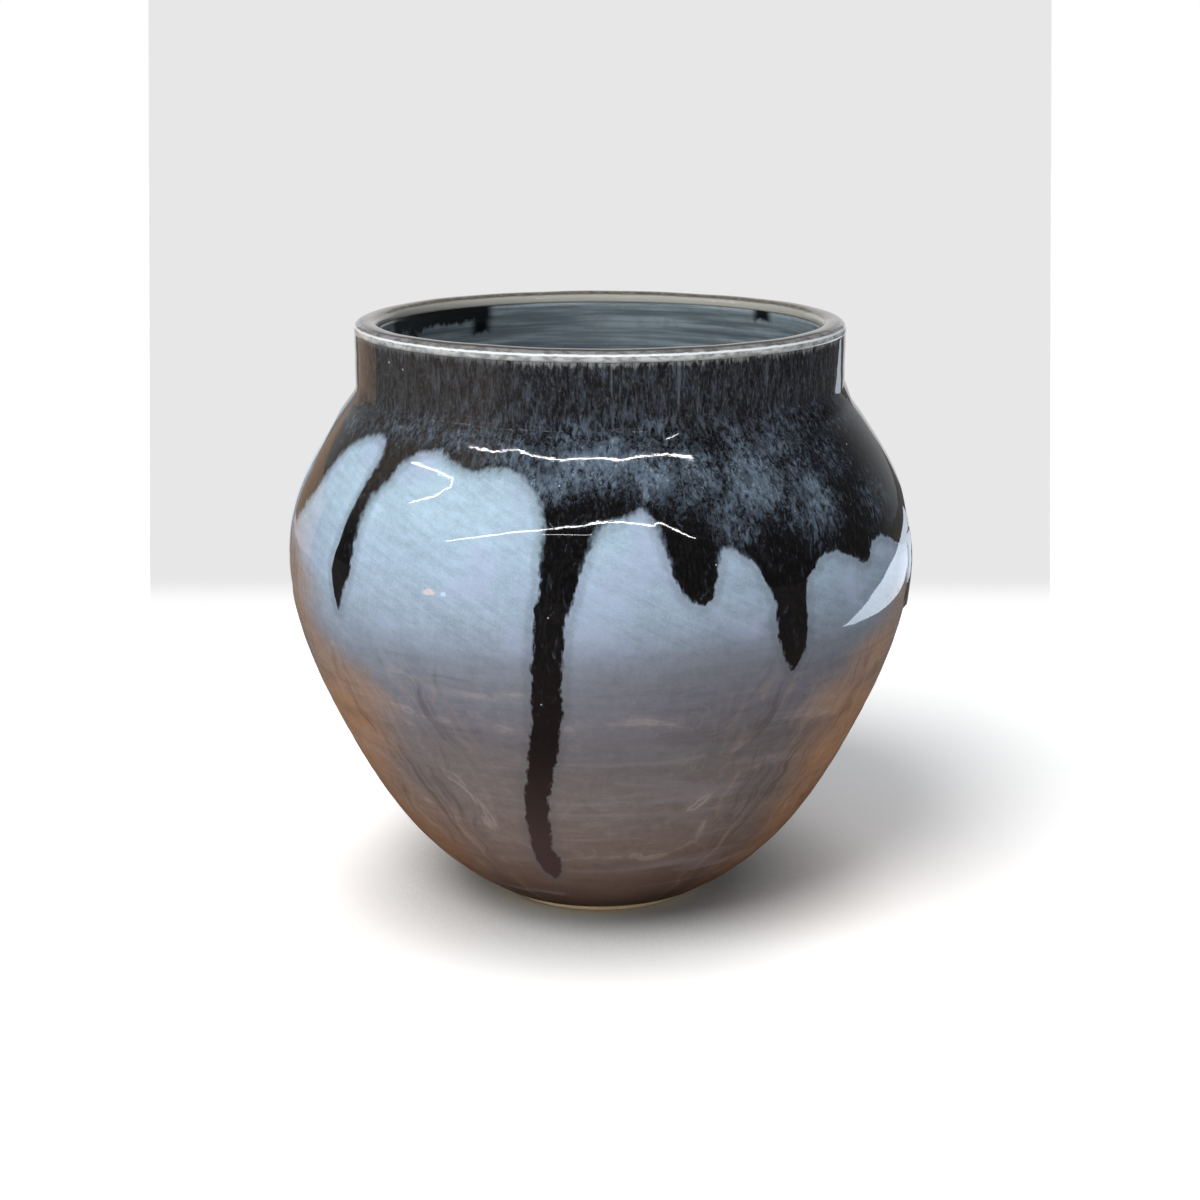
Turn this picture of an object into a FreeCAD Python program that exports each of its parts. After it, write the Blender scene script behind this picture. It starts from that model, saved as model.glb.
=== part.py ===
"""A drip-glazed stoneware moon jar with a wide collar neck, in millimetres.

The axis of the jar is Z, the floor it stands on is z = 0, and its front faces -Y.
Angles are measured round the axis from the front, positive towards +X.
"""
import FreeCAD, Part
import math
import os

Vector = FreeCAD.Vector

# Foot, which is turned and left bare at its lower edge
FOOT_RADIUS = 32.2
FOOT_RING_WIDTH = 8.5
FOOT_HEIGHT = 5.0
FOOT_BEVEL_HEIGHT = 3.0
FOOT_BEVEL_FLARE = 3.0

# Clay outline of the two bowls and the collar
BELLY_RADIUS = 98.9
BELLY_HEIGHT = 108.0
SHOULDER_RISE = 58.8
SHOULDER_ANGLE = 36.0
NECK_RADIUS = 75.7
NECK_HEIGHT = 16.8
CREASE_RADIUS = 6.0
RIM_RISE = 3.0

# Clay walls
BASE_WALL = 8.0
LOWER_WALL = 8.0
BELLY_WALL = 6.5
NECK_WALL = 5.5

# Slip joints between the thrown sections
SLIP_THICKNESS = 0.8
WAIST_BEVEL = 4.0

# Glaze coats
BODY_GLAZE = 0.8
DARK_GLAZE = 0.8
LINER_GLAZE = 0.6
LIP_GLAZE = 0.6
BARE_FOOT_HEIGHT = 3.6

# Scalloped lower edge of the dark coat, and how finely each half of a scallop is drawn
DARK_COAT_DEPTH = 56.0
EDGE_SHARPNESS = 0.8
EDGE_STEPS = 3

# Glaze runs: how far they stand proud, how far they are sunk to be cut, and the width of each
RUN_CROWN = 1.4
RUN_SINK = 0.6
RUN_FAR_LEFT_WIDTH = 8.0
RUN_LEFT_WIDTH = 7.6
RUN_FRONT_LONG_WIDTH = 8.8
RUN_RIGHT_BLUNT_WIDTH = 10.5
RUN_RIGHT_POINTED_WIDTH = 9.6
RUN_RIGHT_SMALL_WIDTH = 6.5
RUN_BACK_A_WIDTH = 8.4
RUN_BACK_B_WIDTH = 9.0
RUN_BACK_C_WIDTH = 9.0
RUN_BACK_D_WIDTH = 8.0
RUN_BACK_E_WIDTH = 8.2

# Lower bowl outline between foot bevel and belly: shares of the radius gained and of the rise
LOWER_OUTLINE_SHARES = [(0.149, 0.057), (0.356, 0.162), (0.553, 0.314), (0.746, 0.524), (0.920, 0.771)]
# Upper bowl outline between belly and crease: shares of the radius lost and of the rise
UPPER_OUTLINE_SHARES = [(0.145, 0.434), (0.574, 0.760)]

# Each cusp of the dark coat: angle in degrees, and depth as a share of the coat's depth
CUSP_SHARES = {
    "run_far_left": (-67.0, 0.40),
    "run_left": (-47.0, 0.32),
    "run_front_long": (-5.4, 0.52),
    "run_right_blunt": (16.0, 0.70),
    "run_right_pointed": (33.4, 0.80),
    "run_right_small": (52.2, 0.74),
    "run_back_a": (77.0, 0.80),
    "run_back_b": (108.0, 0.70),
    "run_back_c": (167.0, 0.66),
    "run_back_d": (212.0, 0.58),
    "run_back_e": (256.0, 0.50),
}
# The arch that follows each cusp: angle in degrees, and depth as a share of the coat's depth
ARCH_SHARES = {
    "run_far_left": (-54.0, 0.16),
    "run_left": (-30.0, 0.21),
    "run_front_long": (6.5, 0.42),
    "run_right_blunt": (22.5, 0.60),
    "run_right_pointed": (43.5, 0.69),
    "run_right_small": (60.0, 0.68),
    "run_back_a": (92.0, 0.60),
    "run_back_b": (136.0, 0.46),
    "run_back_c": (190.0, 0.38),
    "run_back_d": (234.0, 0.30),
    "run_back_e": (276.0, 0.26),
}
# Each run's drift sideways from cusp to tip, in degrees
RUN_DRIFTS = {
    "run_far_left": -3.0,
    "run_left": -4.4,
    "run_front_long": -8.8,
    "run_right_blunt": 0.8,
    "run_right_pointed": 1.2,
    "run_right_small": 0.4,
    "run_back_a": 1.5,
    "run_back_b": -2.0,
    "run_back_c": 3.0,
    "run_back_d": -1.5,
    "run_back_e": 2.0,
}
# How far down from its cusp towards the bare foot each run reaches
RUN_REACH_SHARES = {
    "run_far_left": 0.0703,
    "run_left": 0.2883,
    "run_front_long": 0.874,
    "run_right_blunt": 0.0895,
    "run_right_pointed": 0.2407,
    "run_right_small": 0.0399,
    "run_back_a": 0.2111,
    "run_back_b": 0.3516,
    "run_back_c": 0.6958,
    "run_back_d": 0.4614,
    "run_back_e": 0.2648,
}
RUN_WIDTHS = {
    "run_far_left": RUN_FAR_LEFT_WIDTH,
    "run_left": RUN_LEFT_WIDTH,
    "run_front_long": RUN_FRONT_LONG_WIDTH,
    "run_right_blunt": RUN_RIGHT_BLUNT_WIDTH,
    "run_right_pointed": RUN_RIGHT_POINTED_WIDTH,
    "run_right_small": RUN_RIGHT_SMALL_WIDTH,
    "run_back_a": RUN_BACK_A_WIDTH,
    "run_back_b": RUN_BACK_B_WIDTH,
    "run_back_c": RUN_BACK_C_WIDTH,
    "run_back_d": RUN_BACK_D_WIDTH,
    "run_back_e": RUN_BACK_E_WIDTH,
}
# Along a run: shares of its length, of its width and of its crown
RUN_FORM_SHARES = [
    (0.0, 1.25, 0.30), (0.18, 1.06, 0.62), (0.42, 0.94, 0.80), (0.70, 0.96, 0.92),
    (0.86, 0.94, 1.0), (0.96, 0.62, 0.80), (1.0, 0.22, 0.30),
]
# How far up under the coat a run begins, as a share of the coat's depth
RUN_ROOT_SHARE = 0.08

# Worked out from the sizes above
FOOT_TOP_RADIUS = FOOT_RADIUS + FOOT_BEVEL_FLARE
RECESS_RADIUS = FOOT_RADIUS - FOOT_RING_WIDTH
BASE_HEIGHT = FOOT_HEIGHT + SLIP_THICKNESS
FLOOR_HEIGHT = BASE_HEIGHT + BASE_WALL
NECK_BASE_HEIGHT = BELLY_HEIGHT + SHOULDER_RISE
RIM_HEIGHT = NECK_BASE_HEIGHT + NECK_HEIGHT
MOUTH_RADIUS = NECK_RADIUS - NECK_WALL
CREASE_TURN = math.radians(SHOULDER_ANGLE)
CREASE_FOOT_RADIUS = NECK_RADIUS + CREASE_RADIUS * (1 - math.cos(CREASE_TURN))
CREASE_FOOT_HEIGHT = NECK_BASE_HEIGHT - CREASE_RADIUS * math.sin(CREASE_TURN)
OVERRUN = BELLY_RADIUS / 2
OUTLINE_STEPS = 14
AXIS = Vector(0, 0, 1)
ORIGIN = Vector(0, 0, 0)


def flat(radius, height):
    """A point of the half section, which lies in the XZ plane."""
    return Vector(radius, 0, height)


def line(start, end):
    return Part.LineSegment(start, end).toShape()


def outward(tangent):
    """The outward normal of an outline that climbs along the tangent."""
    return Vector(tangent.z, 0, -tangent.x).normalize()


def smooth_curve(points, first, last):
    """One smooth curve through the points with the given end directions."""
    curve = Part.BSplineCurve()
    curve.interpolate(Points=points, InitialTangent=first, FinalTangent=last)
    return curve


def bowl_points():
    """Points of the clay outline from foot bevel to crease."""
    gain = BELLY_RADIUS - FOOT_TOP_RADIUS
    rise = BELLY_HEIGHT - FOOT_BEVEL_HEIGHT
    loss = BELLY_RADIUS - CREASE_FOOT_RADIUS
    climb = CREASE_FOOT_HEIGHT - BELLY_HEIGHT
    points = [flat(FOOT_TOP_RADIUS, FOOT_BEVEL_HEIGHT)]
    for out, up in LOWER_OUTLINE_SHARES:
        points.append(flat(FOOT_TOP_RADIUS + out * gain, FOOT_BEVEL_HEIGHT + up * rise))
    points.append(flat(BELLY_RADIUS, BELLY_HEIGHT))
    for back, up in UPPER_OUTLINE_SHARES:
        points.append(flat(BELLY_RADIUS - back * loss, BELLY_HEIGHT + up * climb))
    points.append(flat(CREASE_FOOT_RADIUS, CREASE_FOOT_HEIGHT))
    return points


def bowl_curve():
    """The clay outline of both bowls, which meets the crease at the shoulder angle."""
    points = bowl_points()
    first = points[1] - points[0]
    last = Vector(-math.sin(CREASE_TURN), 0, math.cos(CREASE_TURN))
    return smooth_curve(points, first.normalize(), last)


def moved_points(curve, distance_at):
    """Points of the curve, each moved outward by a distance that may change on the way."""
    first, last = curve.FirstParameter, curve.LastParameter
    points = []
    for step in range(OUTLINE_STEPS + 1):
        share = step / OUTLINE_STEPS
        place = first + share * (last - first)
        normal = outward(curve.tangent(place)[0])
        points.append(curve.value(place) + normal * distance_at(share))
    return points


def moved_curve(curve, distance):
    """The bowl outline moved outward by one distance."""
    first = curve.tangent(curve.FirstParameter)[0]
    last = curve.tangent(curve.LastParameter)[0]
    return smooth_curve(moved_points(curve, lambda share: distance), first, last)


def wall_at(share):
    """Clay wall from the base (share 0) past the belly (about 0.6) to the crease (share 1)."""
    belly_share = 0.6
    if share < belly_share:
        return LOWER_WALL + (BELLY_WALL - LOWER_WALL) * share / belly_share
    return BELLY_WALL + (NECK_WALL - BELLY_WALL) * (share - belly_share) / (1 - belly_share)


def inner_curve(extra):
    """The inside of the bowls from the middle of the floor to the crease, less a coat of glaze."""
    curve = bowl_curve()
    points = moved_points(curve, lambda share: -wall_at(share) - extra)
    floor = FLOOR_HEIGHT + extra
    rising = [point for point in points if point.z > floor + LOWER_WALL]
    last = Vector(-math.sin(CREASE_TURN), 0, math.cos(CREASE_TURN))
    return smooth_curve([flat(0, floor)] + rising, Vector(1, 0, 0), last)


def crease_arc(distance):
    """The rounded crease where shoulder turns into neck, moved outward by the distance."""
    radius = CREASE_RADIUS - distance
    centre = flat(NECK_RADIUS + CREASE_RADIUS, NECK_BASE_HEIGHT)
    points = []
    for turn in (CREASE_TURN, CREASE_TURN / 2, 0):
        points.append(centre - flat(math.cos(turn), math.sin(turn)) * radius)
    return Part.Arc(*points).toShape()


def outside_path(distance):
    """Edges of the outline from foot bevel to rim, moved outward by the distance."""
    curve = bowl_curve() if distance == 0 else moved_curve(bowl_curve(), distance)
    radius = NECK_RADIUS + distance
    neck = line(flat(radius, NECK_BASE_HEIGHT), flat(radius, RIM_HEIGHT))
    return [curve.toShape(), crease_arc(distance), neck]


def inside_path(extra):
    """Edges of the inside from the middle of the floor to the rim, less a coat of glaze."""
    radius = MOUTH_RADIUS - extra
    neck = line(flat(radius, NECK_BASE_HEIGHT), flat(radius, RIM_HEIGHT))
    return [inner_curve(extra).toShape(), crease_arc(-NECK_WALL - extra), neck]


def rim_curve(inner, outer, rise):
    """The rounded top of the rim, from its inside to its outside."""
    points = [flat(inner, RIM_HEIGHT), flat((inner + outer) / 2, RIM_HEIGHT + rise), flat(outer, RIM_HEIGHT)]
    return smooth_curve(points, Vector(0, 0, 1), Vector(0, 0, -1)).toShape()


def face_of(edges):
    """The flat face inside a closed run of edges, in any order."""
    return Part.Face(Part.Wire(Part.__sortEdges__(edges)))


def ends(path):
    """First and last point of a path whose edges follow each other upwards."""
    return path[0].valueAt(path[0].FirstParameter), path[-1].valueAt(path[-1].LastParameter)


def clay_section():
    """Half section of all the clay, foot and bowls and collar together."""
    outside = outside_path(0)
    inside = inside_path(0)
    foot = [
        line(flat(0, FLOOR_HEIGHT), flat(0, BASE_HEIGHT)),
        line(flat(0, BASE_HEIGHT), flat(RECESS_RADIUS, BASE_HEIGHT)),
        line(flat(RECESS_RADIUS, BASE_HEIGHT), flat(RECESS_RADIUS, 0)),
        line(flat(RECESS_RADIUS, 0), flat(FOOT_RADIUS, 0)),
        line(flat(FOOT_RADIUS, 0), flat(FOOT_TOP_RADIUS, FOOT_BEVEL_HEIGHT)),
    ]
    rim = rim_curve(MOUTH_RADIUS, NECK_RADIUS, RIM_RISE)
    return face_of(outside + inside + foot + [rim])


def coat_section(under, over):
    """Half section of a coat between two paths that start and end side by side."""
    under_start, under_end = ends(under)
    over_start, over_end = ends(over)
    return face_of(under + over + [line(under_start, over_start), line(under_end, over_end)])


def liner_section():
    """Half section of the inside glaze, which crosses the middle of the floor."""
    clay = inside_path(0)
    glaze = inside_path(LINER_GLAZE)
    middle = line(flat(0, FLOOR_HEIGHT), flat(0, FLOOR_HEIGHT + LINER_GLAZE))
    top = line(flat(MOUTH_RADIUS, RIM_HEIGHT), flat(MOUTH_RADIUS - LINER_GLAZE, RIM_HEIGHT))
    return face_of(clay + glaze + [middle, top])


def lip_section():
    """Half section of the coat over the rim, which covers the ends of the other coats."""
    outer = NECK_RADIUS + BODY_GLAZE + DARK_GLAZE
    inner = MOUTH_RADIUS - LINER_GLAZE
    over = rim_curve(inner, outer, RIM_RISE + LIP_GLAZE)
    clay = rim_curve(MOUTH_RADIUS, NECK_RADIUS, RIM_RISE)
    inside = line(flat(inner, RIM_HEIGHT), flat(MOUTH_RADIUS, RIM_HEIGHT))
    outside = line(flat(NECK_RADIUS, RIM_HEIGHT), flat(outer, RIM_HEIGHT))
    return face_of([over, clay, inside, outside])


def level(height):
    """A level cut through the half section."""
    return [(0, height), (BELLY_RADIUS + OVERRUN, height)]


def bevel(height):
    """A cut that is level but for the bevel across the wall at the belly, one wall past each face."""
    inner, outer = BELLY_RADIUS - 2 * BELLY_WALL, BELLY_RADIUS + BELLY_WALL
    low, high = height - 2 * WAIST_BEVEL, height + WAIST_BEVEL
    return [(0, low), (inner, low), (outer, high), (BELLY_RADIUS + OVERRUN, high)]


def between(section, lower, upper):
    """The part of a half section between two cuts."""
    corners = [flat(*corner) for corner in lower + upper[::-1]]
    band = Part.Face(Part.makePolygon(corners + corners[:1]))
    return section.common(band).Faces[0]


def turned(section):
    """The solid that a half section makes when it is turned round the axis."""
    return section.revolve(ORIGIN, AXIS, 360)


def clay_pieces():
    """Foot, bowls and collar, and the slip between them."""
    section = clay_section()
    top = RIM_HEIGHT + RIM_RISE + OVERRUN
    waist = BELLY_HEIGHT - SLIP_THICKNESS / 2
    cuts = [
        ("foot_ring", level(-OVERRUN), level(FOOT_HEIGHT)),
        ("foot_slip", level(FOOT_HEIGHT), level(BASE_HEIGHT)),
        ("lower_bowl", level(BASE_HEIGHT), bevel(waist)),
        ("waist_slip", bevel(waist), bevel(waist + SLIP_THICKNESS)),
        ("upper_bowl", bevel(waist + SLIP_THICKNESS), level(CREASE_FOOT_HEIGHT - SLIP_THICKNESS)),
        ("neck_slip", level(CREASE_FOOT_HEIGHT - SLIP_THICKNESS), level(CREASE_FOOT_HEIGHT)),
        ("neck_collar", level(CREASE_FOOT_HEIGHT), level(top)),
    ]
    return {name: turned(between(section, lower, upper)) for name, lower, upper in cuts}


def body_glaze():
    """The outside coat, from just above the bare foot edge to the rim."""
    section = coat_section(outside_path(0), outside_path(BODY_GLAZE))
    return turned(between(section, level(BARE_FOOT_HEIGHT), level(RIM_HEIGHT)))


def coat_height(share):
    """Height above the floor of a depth below the foot of the neck."""
    return NECK_BASE_HEIGHT - share * DARK_COAT_DEPTH


def scallop_points(name, radius):
    """Points of the edge from one run's cusp over its arch to the next cusp, at one radius."""
    names = list(CUSP_SHARES)
    full_turn = 360.0
    angle, share = CUSP_SHARES[name]
    arch_angle, arch_share = ARCH_SHARES[name]
    next_angle, next_share = CUSP_SHARES[names[(names.index(name) + 1) % len(names)]]
    points = []
    for step in range(2 * EDGE_STEPS + 1):
        from_arch = step / EDGE_STEPS - 1
        side_angle, side_share = (angle, share) if from_arch < 0 else (next_angle, next_share)
        span = (side_angle - arch_angle + full_turn / 2) % full_turn - full_turn / 2
        fall = 1 - math.cos(from_arch * math.pi / 2) ** EDGE_SHARPNESS
        depth = arch_share + fall * (side_share - arch_share)
        points.append(round_place(arch_angle + abs(from_arch) * span, radius, coat_height(depth)))
    return points


def round_place(angle, radius, height):
    """A point at an angle from the front, a radius and a height."""
    turn = math.radians(angle)
    return Vector(radius * math.sin(turn), -radius * math.cos(turn), height)


def scallop_edge(name, radius):
    """One scallop of the edge at one radius, paced alike at every radius."""
    points = scallop_points(name, radius)
    pace = [float(index) for index in range(len(points))]
    curve = Part.BSplineCurve()
    curve.interpolate(Points=points, Parameters=pace)
    return curve.toShape()


def beyond_edge(way):
    """Blocks that fill all that lies below the scalloped edge (way -1) or above it (way 1)."""
    far = Vector(0, 0, way * (NECK_BASE_HEIGHT + OVERRUN))
    blocks = []
    for name in CUSP_SHARES:
        inner, outer = scallop_edge(name, MOUTH_RADIUS / 2), scallop_edge(name, BELLY_RADIUS + OVERRUN)
        blocks.append(Part.makeRuledSurface(inner, outer).Faces[0].extrude(far))
    return blocks


def dark_glaze():
    """The dark coat on neck and shoulder, cut along its scalloped lower edge."""
    shell = turned(coat_section(outside_path(BODY_GLAZE), outside_path(BODY_GLAZE + DARK_GLAZE)))
    return shell.cut(beyond_edge(-1)).Solids[0]


def glazed_core():
    """Everything inside the outer face of the body glaze, as one solid."""
    path = outside_path(BODY_GLAZE)
    start, end = ends(path)
    foot, top = flat(0, start.z), flat(0, end.z)
    return turned(face_of(path + [line(start, foot), line(foot, top), line(top, end)]))


def at_height(curve, height):
    """Point and outward normal of a climbing curve at a height, found by halving."""
    low, high = curve.FirstParameter, curve.LastParameter
    halvings = 40
    for _ in range(halvings):
        middle = (low + high) / 2
        if curve.value(middle).z < height:
            low = middle
        else:
            high = middle
    return curve.value(low), outward(curve.tangent(low)[0])


def run_section(curve, angle, height, width, crown):
    """Closed outline across a run: a crowned arc over a chord sunk below the glaze."""
    point, normal = at_height(curve, height)
    centre = round_place(angle, point.x, height)
    turn = math.radians(angle)
    out = Vector(normal.x * math.sin(turn), -normal.x * math.cos(turn), normal.z)
    side = Vector(math.cos(turn), math.sin(turn), 0) * (width / 2)
    left = centre - side - out * RUN_SINK
    right = centre + side - out * RUN_SINK
    arc = Part.Arc(left, centre + out * crown, right).toShape()
    return Part.Wire([arc, line(right, left)])


def run_loft(name, curve):
    """A run as a tongue that goes down the glaze from under the dark coat to its tip."""
    angle, share = CUSP_SHARES[name]
    width = RUN_WIDTHS[name]
    root = coat_height(share - RUN_ROOT_SHARE)
    cusp = coat_height(share)
    tip = cusp - RUN_REACH_SHARES[name] * (cusp - BARE_FOOT_HEIGHT)
    sections = []
    for along, width_share, crown_share in RUN_FORM_SHARES:
        height = root + (tip - root) * along
        place = angle + RUN_DRIFTS[name] * along
        sections.append(run_section(curve, place, height, width * width_share, RUN_CROWN * crown_share))
    return Part.makeLoft(sections, True, False)


def glaze_runs():
    """All the runs, each cut to lie on the body glaze and against the dark coat's edge."""
    core = glazed_core()
    above = beyond_edge(1)
    curve = moved_curve(bowl_curve(), BODY_GLAZE)
    runs = {}
    for name in CUSP_SHARES:
        tongue = run_loft(name, curve).cut(above).cut(core)
        runs[name] = max(tongue.Solids, key=lambda solid: solid.Volume)
    return runs


def all_pieces():
    pieces = clay_pieces()
    pieces["liner_glaze"] = turned(liner_section())
    pieces["body_glaze"] = body_glaze()
    pieces["dark_glaze"] = dark_glaze()
    pieces["lip_glaze"] = turned(lip_section())
    pieces.update(glaze_runs())
    return pieces


def main():
    os.makedirs("parts", exist_ok=True)
    for name, shape in all_pieces().items():
        shape.exportStep("parts/" + name + ".step")
        print(name, "valid", shape.isValid(), "solids", len(shape.Solids), "volume", round(shape.Volume))


main()
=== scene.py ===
"""Looks of a drip-glazed stoneware jar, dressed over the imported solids.

Lengths in the tables are millimetres. Angles are degrees round the axis from the front (-Y),
positive towards +X. Everything is turned into metres when a mesh is made.
"""
import math

import bpy
import numpy as np
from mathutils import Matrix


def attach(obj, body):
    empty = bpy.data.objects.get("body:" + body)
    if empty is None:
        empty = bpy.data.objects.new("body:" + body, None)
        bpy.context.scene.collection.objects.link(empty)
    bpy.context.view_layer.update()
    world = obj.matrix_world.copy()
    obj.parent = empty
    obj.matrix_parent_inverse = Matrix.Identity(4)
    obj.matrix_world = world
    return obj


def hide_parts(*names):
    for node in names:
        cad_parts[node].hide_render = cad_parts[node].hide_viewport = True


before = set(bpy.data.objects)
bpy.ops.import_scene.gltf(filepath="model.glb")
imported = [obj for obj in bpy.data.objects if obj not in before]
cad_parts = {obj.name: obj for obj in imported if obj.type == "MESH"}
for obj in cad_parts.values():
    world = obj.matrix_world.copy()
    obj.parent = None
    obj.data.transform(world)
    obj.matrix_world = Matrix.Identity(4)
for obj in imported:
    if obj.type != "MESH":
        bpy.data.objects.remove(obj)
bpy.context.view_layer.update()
MM = 0.001
BODY = "root"


def srgb(red, green, blue):
    """A colour as it looks on a screen (0 to 255), turned into the linear values that shaders use."""
    shares = [value / 255 for value in (red, green, blue)]
    return tuple(share / 12.92 if share <= 0.04045 else ((share + 0.055) / 1.055) ** 2.4 for share in shares)


# Outlines

# Outer face of the body glaze from the bare foot to the shoulder: radius, height
BODY_OUTLINE = [
    (37.67, 3.6), (39.93, 5), (43.11, 7), (46.12, 9), (52.63, 14), (58.97, 20), (65.02, 27), (71.4, 36),
    (77.36, 46), (83.61, 58), (89.22, 70), (94.67, 84), (97.99, 96), (99.7, 108), (99.38, 120),
    (96.55, 132), (92.52, 141), (87.19, 150), (82.4, 157), (77.49, 163.74),
]
# Inner face of the liner from the floor to under the neck: radius, height
LINER_OUTLINE = [
    (0.4, 14.4), (6, 14.4), (11.9, 14.4), (24, 15), (33.7, 16), (44.5, 20), (56, 30), (66.8, 45),
    (75.2, 60), (83.7, 78), (90.8, 100), (91.8, 120), (84.2, 141), (75.3, 155), (71.9, 159.7),
]
CREASE_CENTRE = (81.7, 166.8)
CREASE_RADIUS = 5.2
CREASE_TURN = math.radians(36.0)
NECK_RADIUS = 76.5
MOUTH_RADIUS = 69.6
RIM_HEIGHT = 183.6
TOP_HEIGHT = 187.2


def path_length(points):
    """Length along a path up to each of its points."""
    return np.concatenate([[0.0], np.cumsum(np.hypot(*np.diff(points, axis=0).T))])


def round_angles(columns):
    return np.arange(columns) * 360 / columns


def natural_spline(points, step):
    """Points about one step apart on a smooth curve through the given ones."""
    points = np.array(points, float)
    pace = path_length(points)
    gaps = np.diff(pace)
    count = len(points)
    matrix = np.zeros((count, count))
    right = np.zeros((count, 2))
    matrix[0, 0] = matrix[-1, -1] = 1.0
    for i in range(1, count - 1):
        matrix[i, i - 1:i + 2] = gaps[i - 1], 2 * (gaps[i - 1] + gaps[i]), gaps[i]
        right[i] = 6 * ((points[i + 1] - points[i]) / gaps[i] - (points[i] - points[i - 1]) / gaps[i - 1])
    bend = np.linalg.solve(matrix, right)
    places = np.linspace(0.0, pace[-1], int(pace[-1] / step) + 1)
    index = np.clip(np.searchsorted(pace, places, side="right") - 1, 0, count - 2)
    gap = gaps[index][:, None]
    after = (places - pace[index])[:, None]
    before = gap - after
    return ((bend[index] * before ** 3 + bend[index + 1] * after ** 3) / (6 * gap)
            + (points[index] / gap - bend[index] * gap / 6) * before
            + (points[index + 1] / gap - bend[index + 1] * gap / 6) * after)


class Outline:
    """A climbing curve of (radius, height) that can be read by its own length or by height."""

    def __init__(self, points):
        self.points = points
        self.length = path_length(points)
        slope = np.gradient(points, self.length, axis=0)
        slope /= np.hypot(slope[:, 0], slope[:, 1])[:, None]
        self.normal = np.stack([slope[:, 1], -slope[:, 0]], 1)

    def at(self, length):
        """Radius, height and outward normal at lengths along the curve."""
        return [np.interp(length, self.length, column) for column in (*self.points.T, *self.normal.T)]

    def length_at(self, height):
        return np.interp(height, self.points[:, 1], self.length)


def crease_and_neck(step):
    """The rounded crease and the straight neck of the outside."""
    turns = np.linspace(CREASE_TURN, 0.0, 12)
    arc = np.array(CREASE_CENTRE) - CREASE_RADIUS * np.stack([np.cos(turns), np.sin(turns)], 1)
    heights = np.arange(CREASE_CENTRE[1] + step, RIM_HEIGHT, step)
    neck = np.stack([np.full_like(heights, NECK_RADIUS), heights], 1)
    return np.concatenate([arc[1:], neck, [[NECK_RADIUS, RIM_HEIGHT]]])


outside = Outline(np.concatenate([natural_spline(BODY_OUTLINE, 0.4), crease_and_neck(0.4)]))
inside_neck = np.array([
    (70.3, 162.5), (69.75, 165.5), (MOUTH_RADIUS, 168.0), (MOUTH_RADIUS, 175.0), (MOUTH_RADIUS, RIM_HEIGHT),
])
inside = Outline(np.concatenate([natural_spline(LINER_OUTLINE, 0.4), inside_neck]))


# Throwing rings: size in mm, mm of height for each radian, sway, how often it sways, start of the sway
RINGS = [(0.021, 1.9, 0.7, 1, 1.0), (0.018, 1.13, 1.1, 1, 0.0), (0.012, 0.71, -1.6, 2, 0.0)]
# The uneven round: size in mm, how often it turns, start, mm of height for each radian
UNEVEN = [(0.10, 2, 0.6, 60), (0.07, 3, 2.0, -45)]
DIMPLE = 0.025
# How far the waved face lies under the plain outline on average
SUNK = 0.22


def waves(angle, height):
    """Throwing rings and an uneven round, as a small move of the outside in mm."""
    turn = np.radians(angle)
    move = DIMPLE * np.sin(5 * turn + height / 6.5) * np.sin(height / 9.0 + 3 * np.sin(turn)) - SUNK
    for size, pitch, sway, times, start in RINGS:
        move = move + size * np.sin(height / pitch + sway * np.sin(times * turn + start))
    for size, times, start, pitch in UNEVEN:
        move = move + size * np.sin(times * turn + start + height / pitch)
    return move


# Where the dark glaze ends

# Lower edge of the dark coat on the side that shows, runs left out: angle, height
COAT_EDGE_FRONT = [
    (-84, 152.2), (-80, 148), (-77, 141), (-74, 136), (-71, 135), (-67.3, 139), (-65.7, 144),
    (-63.9, 150.1), (-61.7, 153.8), (-57.5, 156.4), (-52.6, 157.8), (-50, 157), (-49, 153), (-46.3, 150),
    (-44, 150), (-42.8, 151), (-40.7, 153), (-39.4, 155.1), (-38, 155.9), (-34.3, 156.4), (-30.6, 154.6),
    (-27.1, 152.5), (-24.2, 152.3), (-20.8, 153.2), (-17.3, 153.5), (-14.9, 151.7), (-12.6, 149.1),
    (-10.9, 145.9), (-10, 143), (-8, 139), (-5, 136), (-2, 136.5), (-0.6, 138.5), (0, 139.3), (1.4, 140.9),
    (3.3, 141.4), (5.5, 142.4), (7.4, 144), (8.8, 142.3), (9.7, 139), (10.6, 136), (12, 132), (14, 130),
    (16.8, 129), (19, 130), (20.6, 131.5), (21.5, 132.9), (23.1, 132.7), (24.8, 130.1), (27, 127.5),
    (28.5, 124.5), (30.5, 121), (33.4, 119.5), (36, 120.5), (38, 123), (39.1, 124.3), (40.8, 126.8),
    (44.1, 127.8), (47.3, 126), (50.1, 124), (52.7, 123.4), (54.3, 124.4), (55.6, 126.9), (59.2, 128),
    (63.5, 125.6), (66.4, 123), (70, 121), (73.5, 120.5),
]
# Cusps and arches of the edge on the other side: angle, height
COAT_EDGE_BACK = [
    (77, 122), (92, 133.2), (108, 127.6), (136, 141), (167, 129.8), (190, 145.5), (212, 134.3), (234, 150),
    (256, 138.8), (276, 152.2),
]
EDGE_SHARPNESS = 0.8

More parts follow.
